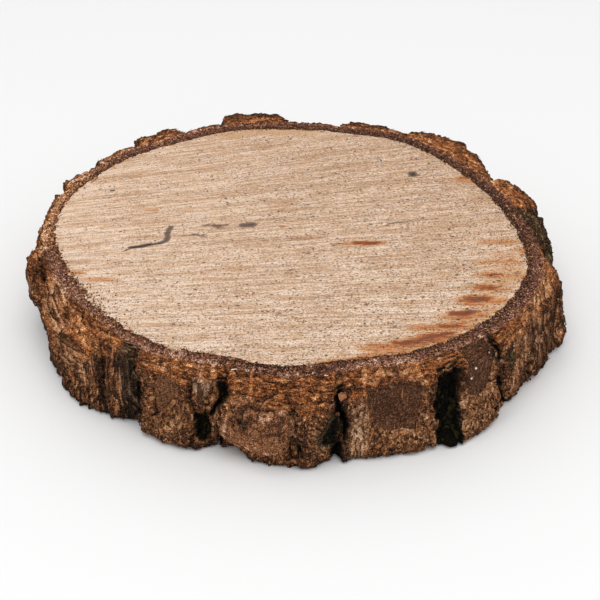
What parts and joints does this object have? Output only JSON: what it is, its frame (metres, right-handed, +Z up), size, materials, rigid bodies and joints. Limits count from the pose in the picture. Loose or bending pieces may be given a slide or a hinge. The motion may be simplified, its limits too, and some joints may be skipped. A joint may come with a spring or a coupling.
{
  "type": "wood slice",
  "caption": "Sawn round slice of a small tree trunk with its rough bark on, lying flat; a rustic stand, coaster or craft base.",
  "frame": {"origin": "on the underside, in the middle of the slice's outline seen from above", "axes": "+Z up out of the upper sawn face; -Y towards the side that the picture shows at the front; +X to the picture's right"},
  "size_m": [0.2432, 0.2506, 0.04],
  "materials": {
    "wood": "raw sawn end grain, pale pinkish tan with fine saw marks, dark specks and rusty stains, matt",
    "bark": "rough fissured bark, reddish brown torn fibres and grey-brown plates with dark green moss in the fissures, matt"
  },
  "bodies": {
    "root": {"wood": "wood", "bark": "bark"}
  },
  "joints": []
}
